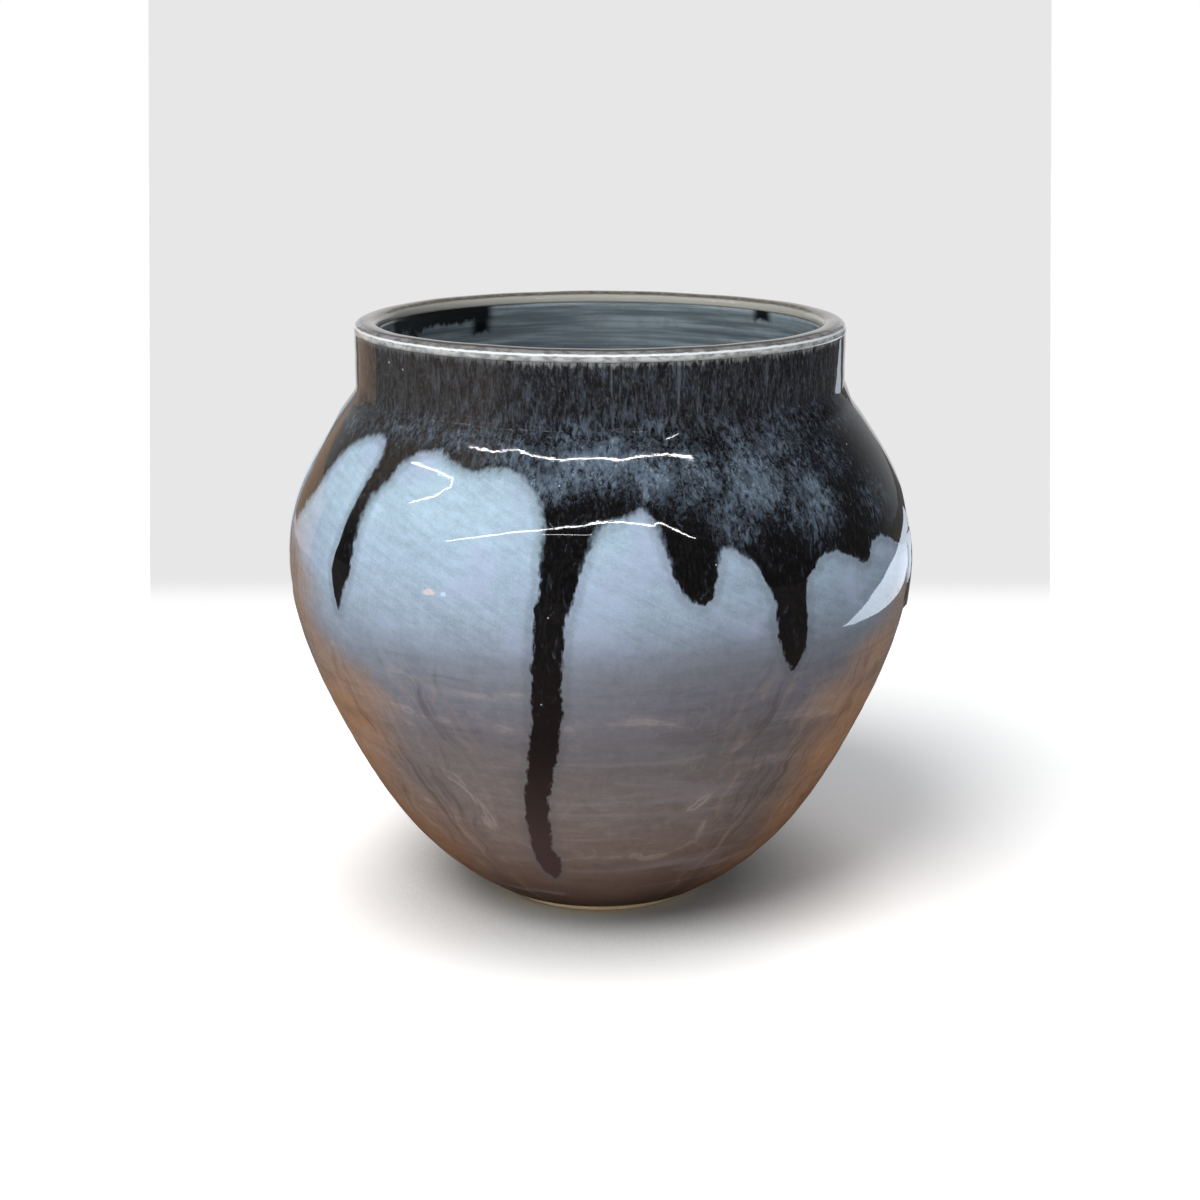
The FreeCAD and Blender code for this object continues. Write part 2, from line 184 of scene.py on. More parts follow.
# Outlines of the runs on the side that shows, down the left and up the right: angle, height
RUNS_FRONT = {
    "run_far_left": (
        [(-77.5, 143), (-77.2, 136), (-76, 130)],
        (-74, 126.5),
        [(-71.4, 130.8), (-67.9, 137.2), (-66, 143)]),
    "run_left": (
        [(-49, 152), (-50.1, 143.5), (-51.1, 136), (-52, 128.2), (-53, 122.8), (-53.3, 118.8),
         (-52.4, 113.1)],
        (-51.2, 107.4),
        [(-48.6, 116.4), (-47.5, 121.3), (-47.5, 127), (-47.3, 132), (-47, 137.6), (-46.3, 142.6),
         (-44.8, 145), (-43, 148.5)]),
    "run_front_long": (
        [(-10, 140), (-9.9, 137), (-10, 133.6), (-10, 127.7), (-10, 121.8), (-10.7, 116.8), (-10.9, 109.2),
         (-11.5, 99.3), (-11.6, 91.4), (-12.1, 80.7), (-13.2, 71.6), (-14.7, 62), (-16, 53.7),
         (-16.6, 44.4), (-17, 35.5), (-16.9, 29.9), (-15.8, 25.2)],
        (-13, 20.9),
        [(-10.4, 26), (-9.8, 31), (-11.6, 34), (-11.3, 39), (-11, 49.4), (-10.5, 56.2), (-8.7, 65.9),
         (-7.3, 75.2), (-6.4, 84.8), (-6.4, 92), (-6.1, 100.8), (-5.8, 106.7), (-5.8, 114), (-4.4, 119),
         (-3.7, 124.5), (-3, 129.2), (-1.7, 133.9), (-0.9, 137)]),
    "run_right_blunt": (
        [(11.5, 130.6), (12.1, 127.7), (13, 122.9), (14.4, 119.8)],
        (16.8, 117.2),
        [(18.7, 119.3), (19.5, 124.5), (20.1, 128.5), (20.5, 131)]),
    "run_right_pointed": (
        [(28, 124.3), (29.1, 120.5), (30.3, 116), (30.4, 110.4), (31.1, 105.1), (32.4, 99.6)],
        (35.1, 93.8),
        [(36.7, 97.7), (37.4, 102.7), (37.1, 109.3), (36.7, 115.7), (37, 121.2), (38, 122.9)]),
    "run_right_small": (
        [(50, 123.5), (51, 122.6)],
        (52.7, 121.6),
        [(54.2, 122.9), (54.9, 124.6)]),
}
# Runs on the other side: angle of cusp and tip, height of tip, width in mm
RUNS_BACK = {
    "run_back_a": (77.0, 78.5, 97.0, 8.4),
    "run_back_b": (108.0, 106.0, 84.0, 9.0),
    "run_back_c": (167.0, 170.0, 42.0, 9.0),
    "run_back_d": (212.0, 210.5, 74.0, 8.0),
    "run_back_e": (256.0, 258.0, 103.0, 8.2),
}
# Along a run of the other side: share of its length and share of its width
BACK_FORM_SHARES = [
    (0, 1.5), (0.06, 1.15), (0.15, 0.98), (0.32, 0.9), (0.5, 0.84), (0.7, 0.92), (0.86, 1.02), (0.94, 0.8),
    (0.985, 0.42),
]


def back_run_outline(name):
    """Left side, tip and right side of a run that the photo doesn't show."""
    cusp, tip, low, width = RUNS_BACK[name]
    high = dict(COAT_EDGE_BACK)[cusp]
    left, right = [], []
    for number, (along, share) in enumerate(BACK_FORM_SHARES):
        height = high + (low - high) * along
        radius = outside.at(outside.length_at(height))[0]
        half = math.degrees(width / 2 * share / radius)
        middle = cusp + (tip - cusp) * along + 0.35 * math.sin(number * 2.3 + cusp)
        left.append((middle - half, height))
        right.append((middle + half, height))
    return left, (tip, low), right[::-1]


run_outlines = RUNS_FRONT | {name: back_run_outline(name) for name in RUNS_BACK}


def coat_edge_points():
    """The coat's edge all round, runs left out."""
    points = list(COAT_EDGE_FRONT)
    for (angle, height), (next_angle, next_height) in zip(COAT_EDGE_BACK[:-1], COAT_EDGE_BACK[1:]):
        climbs = next_height > height
        for step in range(8):
            share = step / 8
            rise = math.sin((share if climbs else 1 - share) * math.pi / 2) ** EDGE_SHARPNESS
            low, high = sorted((height, next_height))
            points.append((angle + share * (next_angle - angle), low + rise * (high - low)))
    return np.array(points, float)


edge_table = coat_edge_points()


def dark_border():
    """The closed way round the jar that the dark glaze ends on, runs and all, as angle and outline length."""
    border = []
    runs = sorted(run_outlines.values(), key=lambda run: run[1][0])
    for angle, height in edge_table:
        while runs and angle >= runs[0][0][0][0]:
            left, tip, right = runs.pop(0)
            border += list(left) + [tip] + list(right)
        if not border or angle > border[-1][0]:
            border.append((angle, height))
    border = np.array(border, float)
    return np.stack([border[:, 0], outside.length_at(border[:, 1])], 1)


border_table = dark_border()
# A tiny turn that keeps a column of points from lying exactly under a corner of the border
NUDGE = 0.00137
TINY = 1e-9
FAR = 1e9


def round_gap(angle, start):
    """How far round in degrees from one angle to another, the short way."""
    return (angle - start + 180) % 360 - 180


def line_gap(angle, level, radius, start, end):
    """Squared distance in mm from each place to a straight line between two points round the jar."""
    scale = np.radians(1.0) * radius
    off, rise = round_gap(angle, start[0]) * scale, level - start[1]
    across, along = round_gap(end[0], start[0]) * scale, end[1] - start[1]
    share = np.clip((off * across + rise * along) / (across * across + along * along + TINY), 0, 1)
    return (off - share * across) ** 2 + (rise - share * along) ** 2


def dark_depth(angle, length):
    """How far in mm each place lies inside the dark glaze; less than zero outside it."""
    radius = outside.at(length)[0]
    nearest = np.full(angle.shape, FAR)
    above = np.zeros(angle.shape, int)
    for start, end in zip(border_table, np.roll(border_table, -1, axis=0)):
        nearest = np.minimum(nearest, line_gap(angle, length, radius, start, end))
        span = round_gap(end[0], start[0])
        if abs(span) > TINY:
            share = round_gap(angle + NUDGE, start[0]) / span
            hit = (share >= 0) & (share < 1)
            above += hit & (start[1] + share * (end[1] - start[1]) > length)
    return np.where(above % 2 == 0, 1.0, -1.0) * np.sqrt(nearest)


# Soft patterns over the whole jar

# Pale thin lines in the lower glaze: angle, height
VEINS = [
    [(-55.7, 95.3), (-46.7, 94.9), (-36.8, 93.1), (-28.8, 88.9), (-19.4, 89.7), (-12.2, 91.4)],
    [(-38.5, 75.3), (-36.2, 64.8), (-30.9, 57.8), (-26.9, 50), (-24.4, 41.3), (-18.8, 36), (-12.2, 32)],
    [(-43.6, 46), (-37.9, 45.8), (-28.1, 45), (-26, 40.9), (-23.8, 37.4), (-22.4, 34.4)],
    [(-53.2, 81.1), (-43.1, 81.8), (-34.7, 79.3), (-23.9, 79.5), (-14.3, 79.3)],
    [(51.8, 74.3), (39.8, 78.2), (34, 78.1), (28.4, 74.2), (25.8, 69.3)],
    [(33.7, 62.8), (30.9, 62.2), (26.2, 57.7), (22.5, 52.6), (16.1, 46.2), (20.6, 44.9), (24.3, 43.7),
     (24, 36.5), (18.4, 32.7), (10.4, 30.5)],
    [(-5.6, 80.1), (1.7, 82.3), (8.7, 82.6), (16.6, 79.6)],
    [(-14, 40.9), (-4.5, 42.7), (5.5, 42.2)],
    [(-27.9, 27.9), (-14.6, 30.3), (0, 32.3), (10.1, 32.2)],
    [(104, 84), (118, 82), (131, 78), (140, 72)],
    [(190, 60), (204, 63), (214, 56), (226, 50), (231, 41)],
    [(150, 92), (163, 88), (180, 90), (196, 87)],
    [(244, 76), (257, 80), (270, 77), (282, 80)],
    [(118, 46), (128, 50), (141, 44), (152, 45), (160, 38)],
]


def vein_distance(angle, height, radius):
    """Distance in mm to the nearest pale line."""
    nearest = np.full(angle.shape, FAR)
    for vein in VEINS:
        for start, end in zip(vein[:-1], vein[1:]):
            nearest = np.minimum(nearest, line_gap(angle, height, radius, start, end))
    return np.sqrt(nearest)


def ease(value, low, high):
    """0 below low, 1 above high, and a smooth step between."""
    share = np.clip((value - low) / (high - low), 0, 1)
    return share * share * (3 - 2 * share)


def spot(angle, height, middle, centre, wide, tall):
    """A soft round patch: 1 in its middle and 0 far away."""
    return np.exp(-(round_gap(angle, middle) / wide) ** 2 - ((height - centre) / tall) ** 2)


# Pale cloudy patches in the dark coat: angle, height, half width in degrees, half height in mm, strength
HAZE_PATCHES = [
    (0, 156, 17, 8, 0.78), (-9, 151, 8, 5, 0.85), (11, 151, 7, 6, 0.85), (-16, 156, 10, 6, 0.6),
    (-26, 160, 14, 4, 0.5), (18, 152, 9, 9, 0.55), (30, 149, 7, 10, 0.85), (42, 143, 6, 11, 0.72),
    (36, 158, 11, 5, 0.6), (24, 141, 5, 8, 0.6), (52, 152, 7, 8, 0.35), (-66, 160, 12, 5, 0.4),
    (-42, 161, 14, 4, 0.45), (62, 138, 8, 9, 0.35), (100, 152, 14, 8, 0.6), (128, 158, 12, 7, 0.45),
    (152, 150, 9, 9, 0.7), (184, 157, 14, 6, 0.5), (214, 153, 9, 9, 0.65), (240, 160, 14, 5, 0.4),
    (262, 152, 9, 8, 0.6),
]


def haze(angle, height):
    total = 0.24 * ease(height, 150, 162)
    for middle, centre, wide, tall, strength in HAZE_PATCHES:
        total = np.maximum(total, strength * spot(angle, height, middle, centre, wide, tall))
    return total


# Colours of the light glaze from foot to shoulder: height, colour
LIGHT_GLAZE = [
    (0, (58, 41, 30)), (10, (80, 59, 47)), (22, (104, 83, 73)), (36, (121, 104, 97)),
    (52, (122, 111, 108)), (68, (118, 111, 111)), (82, (118, 115, 122)), (94, (124, 126, 136)),
    (102, (134, 142, 155)), (110, (149, 163, 180)), (119, (161, 180, 199)), (130, (169, 190, 210)),
    (142, (175, 199, 217)), (170, (177, 201, 218)),
]
# Colours of the painted warm reflection on the lower sides, as if they mirrored a warm room: height, colour
AMBER_REFLECTION = [
    (0, (98, 66, 44)), (30, (138, 99, 72)), (60, (168, 125, 94)), (95, (176, 136, 105)),
    (120, (166, 136, 110)), (150, (158, 140, 126)),
]
# How much further down the blue reaches, by angle
BLUE_DROP = [
    (-180, 3), (-130, -4), (-90, 2), (-55, 2), (-25, 4), (-8, 2), (4, -1), (30, -2), (50, 0), (90, -4),
    (140, 4), (180, 3),
]


def layered(table, height):
    """Colours read from a table by height."""
    rows = np.array([srgb(*colour) for _, colour in table])
    heights = [level for level, _ in table]
    return np.stack([np.interp(height, heights, rows[:, channel]) for channel in range(3)], -1)


# The painted warm reflection on the sides starts at this share of the way to the side: height, share
AMBER_START_SHARES = [(0, 0.44), (25, 0.52), (60, 0.61), (95, 0.73), (115, 0.83), (135, 0.92), (150, 1.05)]
AMBER_FADE = 0.3
# Ragged edge of the painted warm reflection: size, mm of height for each radian, how often it turns
AMBER_SWAYS = [(0.018, 3.1, 9), (0.02, 7.7, -5), (0.04, 17, 4), (0.03, 10, -7)]


def glaze_tint(angle, height):
    """Colour of the light glaze, without its fine marks, with painted shade round the right side, and how
    much painted warm reflection each place has.
    """
    turn = np.radians(angle)
    drop = np.interp(round_gap(angle, 0), *np.array(BLUE_DROP, float).T)
    sway = 1.6 * np.sin(3 * turn + height / 9) + 1.1 * np.sin(7 * turn + 1.3)
    level = height + drop * ease(height, 60, 100) + sway
    # Painted shade: the light glaze is up to 18 % darker round the right side, about angle 42
    colour = layered(LIGHT_GLAZE, level) * (1 - 0.18 * spot(angle, 0 * height, 42, 0, 38, 1))[..., None]
    side = np.abs(np.sin(turn))
    # Painted reflection: the lower sides turn brown towards the left and right, with a ragged edge
    for size, pitch, times in AMBER_SWAYS:
        side = side + size * np.sin(height / pitch + times * turn)
    start = np.interp(height, *np.array(AMBER_START_SHARES).T)
    reflected_amber = ease(side, start, start + AMBER_FADE) * ease(150 - height, 0, 26)
    return colour * (1 - reflected_amber[..., None]) + layered(AMBER_REFLECTION, height) * reflected_amber[..., None], reflected_amber


# Meshes

def to_points(angle, radius, height):
    turn = np.radians(angle)
    return np.stack(np.broadcast_arrays(radius * np.sin(turn), -radius * np.cos(turn), height), -1)


# Heights in mm between which the uneven round dies away towards the foot
WAVE_FADE = (3.6, 16.0)


def skin(angle, length, thick, curve=outside, moved=True):
    """Points on an outline, lifted along its normal."""
    radius, height, out, up = curve.at(length)
    shift = waves(angle, height) * ease(height, *WAVE_FADE) if moved else 0.0
    return to_points(angle, radius + out * (thick + shift), height + up * (thick + shift))


# How much of its own slope a place keeps in the gloss
OWN_SHARE = 0.07
# Thicknesses in mm of the coats and runs, and how high their edges stand
BODY_COAT_DEPTH = 0.7
DARK_COAT_DEPTH = 0.72
DARK_COAT_ROOT = 0.1
LINER_DEPTH = 0.5
RUN_DEPTH = 0.25
RUN_CROWN = 0.75
RUN_CROWN_SHARE = 0.11
COAT_LIFT = 0.05
# How far above its edge the dark coat comes to its full thickness
DARK_COAT_RISE = 9.0


def facing(angle, length):
    """The way the plain outline faces at each place."""
    _, _, out, up = outside.at(length)
    turn = np.radians(angle)
    return np.stack([out * np.sin(turn), -out * np.cos(turn), up], -1).reshape(-1, 3)


def show(name, data):
    """Puts a mesh, lamp or camera in the scene."""
    thing = bpy.data.objects.new(name, data)
    bpy.context.scene.collection.objects.link(thing)
    return thing


def add_mesh(name, points, faces, values=None, tint=None, ways=None):
    """Makes a piece that rides on the jar, with values for each point that its material reads.

    ways: how the first points face, which evens out how the gloss runs over the edges of the coats.
    """
    mesh = bpy.data.meshes.new(name)
    mesh.from_pydata((points * MM).tolist(), [], faces)
    mesh.polygons.foreach_set("use_smooth", [True] * len(mesh.polygons))
    mesh.update()
    if ways is not None:
        for key, numbers in values.items():
            places = mesh.attributes.new(key, "FLOAT", "POINT")
            places.data.foreach_set("value", np.asarray(numbers, np.float32))
        colour = np.concatenate([tint, np.ones((len(tint), 1))], 1).astype(np.float32)
        mesh.attributes.new("tint", "FLOAT_COLOR", "POINT").data.foreach_set("color", colour.ravel())
        own = np.zeros(len(mesh.vertices) * 3, np.float32)
        mesh.vertex_normals.foreach_get("vector", own)
        own = own.reshape(-1, 3)
        own[:len(ways)] = own[:len(ways)] * OWN_SHARE + ways * (1 - OWN_SHARE)
        own /= np.linalg.norm(own, axis=1, keepdims=True)
        mesh.normals_split_custom_set_from_vertices(own.tolist())
    piece = show(name, mesh)
    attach(piece, BODY)
    return piece


def whole(curve, columns, rows):
    """Angles and lengths of a grid all round a whole outline."""
    return np.meshgrid(round_angles(columns), np.linspace(0, curve.length[-1], rows))


def grid_faces(rows, columns, closed, start=0, flip=False):
    """Four-sided faces of a grid whose columns may close into a ring."""
    faces = []
    for row in range(start, start + (rows - 1) * columns, columns):
        for column in range(columns if closed else columns - 1):
            a, b = row + column, row + (column + 1) % columns
            face = (a, b, b + columns, a + columns)
            faces.append(face[::-1] if flip else face)
    return faces


def ring_shell(outer, inner):
    """A closed shell of revolution from two grids with as many columns, and its faces."""
    (rows, columns), inner_rows = outer.shape[:2], inner.shape[0]
    start = rows * columns
    faces = grid_faces(rows, columns, True) + grid_faces(inner_rows, columns, True, start, True)
    top, inner_top = (rows - 1) * columns, start + (inner_rows - 1) * columns
    for column in range(columns):
        after = (column + 1) % columns
        faces.append((start + column, start + after, after, column))
        faces.append((top + column, top + after, inner_top + after, inner_top + column))
    return np.concatenate([outer.reshape(-1, 3), inner.reshape(-1, 3)]), faces


def add_coat(name, points, faces, outer, inner):
    """A skin of outside glaze; outer and inner hold the angles and outline lengths of its faces."""
    angle, length = (np.concatenate([np.ravel(part) for part in pair]) for pair in zip(outer, inner))
    radius, height, _, _ = outside.at(length)
    tint, reflected_amber = glaze_tint(angle, height)
    values = {
        "dark": dark_depth(angle, length), "haze": haze(angle, height),
        "vein": vein_distance(angle, height, radius), "reflected_amber": reflected_amber,
    }
    return add_mesh(name, points, faces, values, tint, facing(*outer))


def make_body_glaze():
    outer, inner = whole(outside, 480, 168), whole(outside, 480, 24)
    points, faces = ring_shell(skin(*outer, 0.0), skin(*inner, -BODY_COAT_DEPTH, moved=False))
    return add_coat("body_glaze_coat", points, faces, outer, inner)


def make_dark_glaze():
    columns, rows, inner_rows = 720, 84, 6
    round_angle = round_angles(columns)
    start = outside.length_at(np.interp(round_angle, *edge_table.T, period=360))

    def grid(count):
        share = np.linspace(0, 1, count)[:, None] ** 1.15
        return np.broadcast_to(round_angle, (count, columns)), start + share * (outside.length[-1] - start)
    outer, inner = grid(rows), grid(inner_rows)
    thick = COAT_LIFT + DARK_COAT_DEPTH * ease(outer[1] - start, 0.0, DARK_COAT_RISE)
    points, faces = ring_shell(skin(*outer, thick), skin(*inner, -DARK_COAT_ROOT))
    return add_coat("dark_glaze_coat", points, faces, outer, inner)


def make_run(name):
    """One run as a raised tongue, flush with the glaze at its sides and tip."""
    left, tip, right = run_outlines[name]
    left = np.array(list(left) + [tip], float)
    right = np.array(list(right)[::-1] + [tip], float)
    top = min(left[0, 1], right[0, 1]) + 1.0
    low = tip[1] + 0.3
    rows, columns = max(12, int((top - low) / 0.8)), 21
    heights = np.linspace(top, low, rows)
    side_left, side_right = (np.interp(-heights, -side[:, 1], side[:, 0]) for side in (left, right))
    across = np.linspace(-1, 1, columns)
    middle, half = (side_left + side_right) / 2, (side_right - side_left) / 2 * 0.98
    angle = middle[:, None] + half[:, None] * across
    length = outside.length_at(heights)[:, None] + np.zeros(columns)
    down = np.linspace(0, 1, rows)[:, None]
    width = 2 * half * np.radians(1.0) * outside.at(length[:, 0])[0]
    crown = np.minimum(RUN_CROWN, RUN_CROWN_SHARE * width)[:, None]
    crown = crown * ease(down, -0.2, 0.25) * ease(1 - down, 0.0, 0.06)
    thick = COAT_LIFT + crown * (1 - across ** 2) ** 0.8
    outer, inner = skin(angle, length, thick), skin(angle, length, -RUN_DEPTH)
    start = rows * columns
    faces = grid_faces(rows, columns, False, 0, True) + grid_faces(rows, columns, False, start)
    grid = np.arange(start).reshape(rows, columns).tolist()
    around = grid[0] + [row[-1] for row in grid[1:]] + grid[-1][-2::-1] + [row[0] for row in grid[-2:0:-1]]
    for a, b in zip(around, around[1:] + around[:1]):
        faces.append((a, b, start + b, start + a))
    points = np.concatenate([outer, inner]).reshape(-1, 3)
    return add_coat(name + "_glaze", points, faces, (angle, length), (angle, length))


def make_liner():
    """The inside coat, with fine throwing rings between the floor and the rim."""
    angle, length = whole(inside, 400, 150)
    height = inside.at(length)[1]
    ring = 0.10 * np.sin(height / 1.3 + 0.8 * np.sin(np.radians(angle))) * ease(height, 20, 40)
    ring = ring * ease(RIM_HEIGHT - height, 0, 6) + 0.10
    back = skin(*whole(inside, 400, 24), LINER_DEPTH, inside, False)
    points, faces = ring_shell(back, skin(angle, length, ring, inside, False))
    return add_mesh("liner_glaze_coat", points, faces)


# The lip's glaze: how far it stands out past the neck and into the mouth, its depth, its worn top
LIP_OUT = 0.78
LIP_IN = 0.02
LIP_DEPTH = 0.9
LIP_DIP = 0.19
# Uneven height of the lip: size in mm, how often it turns, start
LIP_WAVES = [(0.07, 3, 0.5), (0.06, 7, 2), (0.04, 17, 0)]


def make_lip():
    """The rounded glaze over the rim, thin and uneven."""
    columns, rows, core_rows = 480, 40, 8
    angle = round_angles(columns)
    turn = np.radians(angle)
    outer_radius, inner_radius = NECK_RADIUS + LIP_OUT, MOUTH_RADIUS + LIP_IN
    middle, half = (outer_radius + inner_radius) / 2, (outer_radius - inner_radius) / 2
    rise = TOP_HEIGHT - RIM_HEIGHT - LIP_DIP - sum(
        size * np.sin(times * turn + start) for size, times, start in LIP_WAVES)
    share = np.linspace(0, math.pi, rows)[:, None]
    radius = middle + half * np.sign(np.cos(share)) * np.abs(np.cos(share)) ** 0.85
    outer = to_points(angle, radius, RIM_HEIGHT + rise * np.sin(share) ** 0.75)
    share = np.linspace(0, math.pi, core_rows)[:, None]
    radius = middle + (half - LIP_DEPTH) * np.cos(share)
    core = to_points(angle, radius, RIM_HEIGHT - 0.3 + (rise - 0.7) * np.sin(share))
    points, faces = ring_shell(outer, core)
    return add_mesh("lip_glaze_coat", points, faces)


# Outline of the foot from its recess to under the glaze: radius, height
FOOT_OUTLINE = [
    (23.7, 5.2), (23.75, 2), (23.9, 0.5), (24.4, 0.06), (26, 0), (28.5, 0.02), (31.2, 0), (32, 0.1),
    (32.5, 0.5), (33.4, 1.35), (34.3, 2.2), (35.05, 2.95), (36.2, 3.6), (37, 4.1), (37.3, 4.8), (36, 5.2),
]
FOOT_TOP = 5.2
FOOT_CORE = (24.6, 35.2)
TURNING_LINE = 0.03


def make_foot():
    """The turned foot, with fine turning lines and a softly worn edge."""
    columns, rows, core_rows = 360, 70, 8
    path = np.array(FOOT_OUTLINE)
    pace = path_length(path)
    places = np.linspace(0, pace[-1], rows)[:, None]
    radius, height = np.interp(places, pace, path[:, 0]), np.interp(places, pace, path[:, 1])
    angle = round_angles(columns)
    line = TURNING_LINE * np.sin(places * 5.0 + 0.4 * np.sin(np.radians(angle)))
    outer = to_points(angle, radius - np.abs(line) * ease(radius, 32.4, 33.2), height)
    core = to_points(angle, np.linspace(*FOOT_CORE, core_rows)[:, None], FOOT_TOP)
    points, faces = ring_shell(outer[::-1], core[::-1])
    return add_mesh("foot_ring_clay", points, faces)


# Materials

# Dark splashes inside the rim: angle and half width in radians, lowest height
SPLASHES = [(-2.22, 0.36, 178.5), (-2.52, 0.05, 174.5), (-2.05, 0.04, 175.5), (2.25, 0.055, 180.0)]


class Nodes:
    """Short calls that add nodes to one tree."""

    def __init__(self, tree):
        self.tree = tree

    def add(self, kind, inputs=None, **settings):
        """A new node; inputs holds numbers, colours or links by the name or number of the input."""
        node = self.tree.nodes.new("ShaderNode" + kind)
        for key, value in settings.items():
            setattr(node, key, value)
        for key, value in (inputs or {}).items():
            self.put(node.inputs[key], value)
        return node

    def put(self, socket, value):
        if isinstance(value, bpy.types.NodeSocket):
            self.tree.links.new(value, socket)
        elif isinstance(value, tuple) and len(value) == 3 and socket.type == "RGBA":
            socket.default_value = (*value, 1.0)
        else:
            socket.default_value = value

    def fed(self, kind, *values, **settings):
        """The first output of a new node whose first inputs get these values."""
        return self.add(kind, dict(enumerate(values)), **settings).outputs[0]

    def split(self, vector):
        return self.add("SeparateXYZ", {0: vector}).outputs

    def vector(self, operation, first, second):
        return self.fed("VectorMath", first, second, operation=operation)

    def math(self, operation, *values):
        return self.fed("Math", *values, operation=operation)

    def step(self, value, low, high, out_low=0.0, out_high=1.0):
        """A smooth step from one value to another."""
        values = (value, low, high, out_low, out_high)
        return self.fed("MapRange", *values, interpolation_type="SMOOTHSTEP")

    def read(self, name, kind="Fac"):
        return self.add("Attribute", attribute_name=name).outputs[kind]

    def mix(self, share, first, second):
        return self.fed("MixShader", share, first, second)

    def show(self, shader, kind="OutputMaterial"):
        self.add(kind, {"Surface": shader})


class Shading(Nodes):
    """Short calls for the material of a piece, with places in mm."""

    def __init__(self, name):
        self.material = bpy.data.materials.new(name)
        self.material.use_nodes = True
        super().__init__(self.material.node_tree)
        self.shader = self.tree.nodes["Principled BSDF"]
        place = self.add("TexCoord").outputs["Object"]
        self.place = self.vector("MULTIPLY", place, (1000, 1000, 1000))
        self.x, self.y, self.z = self.split(self.place)

    def plus(self, *values):
        total = values[0]
        for value in values[1:]:
            total = self.math("ADD", total, value)
        return total

    def times(self, *values):
        total = values[0]
        for value in values[1:]:
            total = self.math("MULTIPLY", total, value)
        return total

    def size(self, value):
        return self.math("ABSOLUTE", value)

    def swing(self, noise, amount):
        """Noise from 0 to 1, moved to swing about 0."""
        return self.times(self.plus(noise, -0.5), amount)

    def noise(self, scale, detail=2.0, stretch=(1, 1, 1), shift=0.0, roughness=0.55, warp=0.0):
        """Noise whose scale is waves per mm; stretch under 1 draws it out along that axis."""
        place = self.vector("MULTIPLY", self.place, stretch)
        if shift:
            place = self.vector("ADD", place, (shift, shift * 0.7, shift * 1.3))
        return self.noise_at(place, scale, detail, roughness, warp)

    def noise_at(self, place, scale, detail=2.0, roughness=0.55, warp=0.0):
        inputs = {"Vector": place, "Scale": scale, "Detail": detail, "Roughness": roughness}
        return self.add("TexNoise", {**inputs, "Distortion": warp}).outputs["Fac"]

    def joined(self, first, second, third):
        """A vector from three numbers."""
        return self.fed("CombineXYZ", first, second, third)

    def grey(self, value):
        return self.joined(value, value, value)

    def outward(self):
        """Distance from the jar's axis."""
        return self.math("SQRT", self.plus(self.times(self.x, self.x), self.times(self.y, self.y)))

    def specks(self, scale, size, shift=0.0):
        """Small round specks: 1 in each, 0 elsewhere."""
        place = self.vector("ADD", self.place, (shift, shift, shift))
        node = self.add("TexVoronoi", {"Vector": place, "Scale": scale})
        return self.step(node.outputs["Distance"], size, size * 0.45)

    def blend(self, share, first, second, mode="MIX"):
        inputs = {0: share, 6: first, 7: second}
        return self.add("Mix", inputs, data_type="RGBA", blend_type=mode).outputs[2]

    def layers(self, colour, *layers):
        """Lays screen colours over the first one, each by its share."""
        for share, tone in layers:
            colour = self.blend(share, colour, srgb(*tone))
        return colour

    def splash_mask(self):
        """Dark glaze that ran inside from the rim at the left and a little at the right."""
        angle = self.math("ARCTAN2", self.x, self.times(self.y, -1.0))
        height = self.plus(self.z, self.swing(self.noise(0.35, 2, (1, 1, 0.3), 37), 6.0))
        total = 0.0
        for middle, half, low in SPLASHES:
            beside = self.step(self.size(self.plus(angle, -middle)), half + 0.03, half - 0.03)
            total = self.math("MAXIMUM", total, self.times(beside, self.step(height, low - 0.8, low + 0.8)))
        return self.times(total, self.step(self.z, 186.0, 184.4))

    def bump(self, height, depth, before=None):
        """Relief from a height that runs from 0 to 1, in mm of depth."""
        inputs = {"Height": height, "Strength": 1.0, "Distance": depth * MM}
        if before is not None:
            inputs["Normal"] = before
        return self.add("Bump", inputs).outputs[0]

    def finish(self, colour, roughness, normal, **constants):
        values = {"Base Color": colour, "Roughness": roughness, "Normal": normal}
        values.update({key.replace("_", " "): value for key, value in constants.items()})
        for key, value in values.items():
            self.put(self.shader.inputs[key], value)
        return self.material


